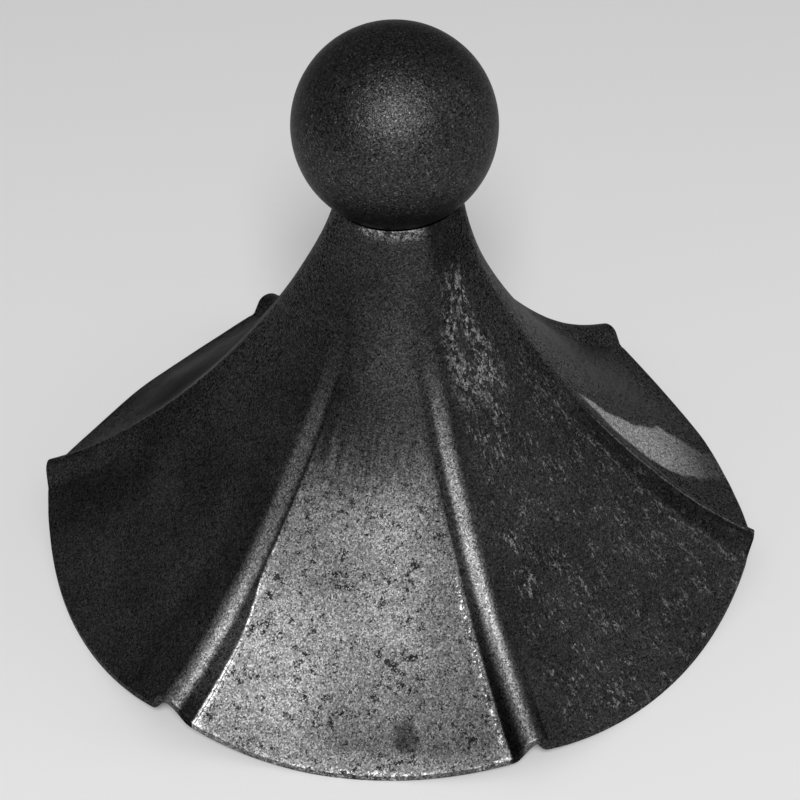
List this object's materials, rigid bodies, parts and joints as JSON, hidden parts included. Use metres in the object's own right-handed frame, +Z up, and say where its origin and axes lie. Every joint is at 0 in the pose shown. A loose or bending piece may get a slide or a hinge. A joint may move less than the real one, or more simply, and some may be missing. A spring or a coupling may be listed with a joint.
{
  "type": "post cap",
  "caption": "Pressed steel post cap: a bell-flared sheet stiffened by half-round ribs, open below, with a steel ball seated on its neck.",
  "frame": {"origin": "middle of the plane that the rim stands on, under the ball", "axes": "+Z up through the ball; -Y is the front, between two ribs; +X to the right seen from the front"},
  "size_m": [0.1531, 0.1502, 0.1225],
  "materials": {
    "scaled_sheet_steel": "pressed mild steel sheet under dark mill scale, rubbed paler on the rim, the feet of the ribs and one panel, with small dark specks",
    "scaled_ball_steel": "forged steel ball under dark, finely grained scale"
  },
  "bodies": {
    "root": {"ribbed_cap": "scaled_sheet_steel", "ball": "scaled_ball_steel"}
  },
  "joints": []
}
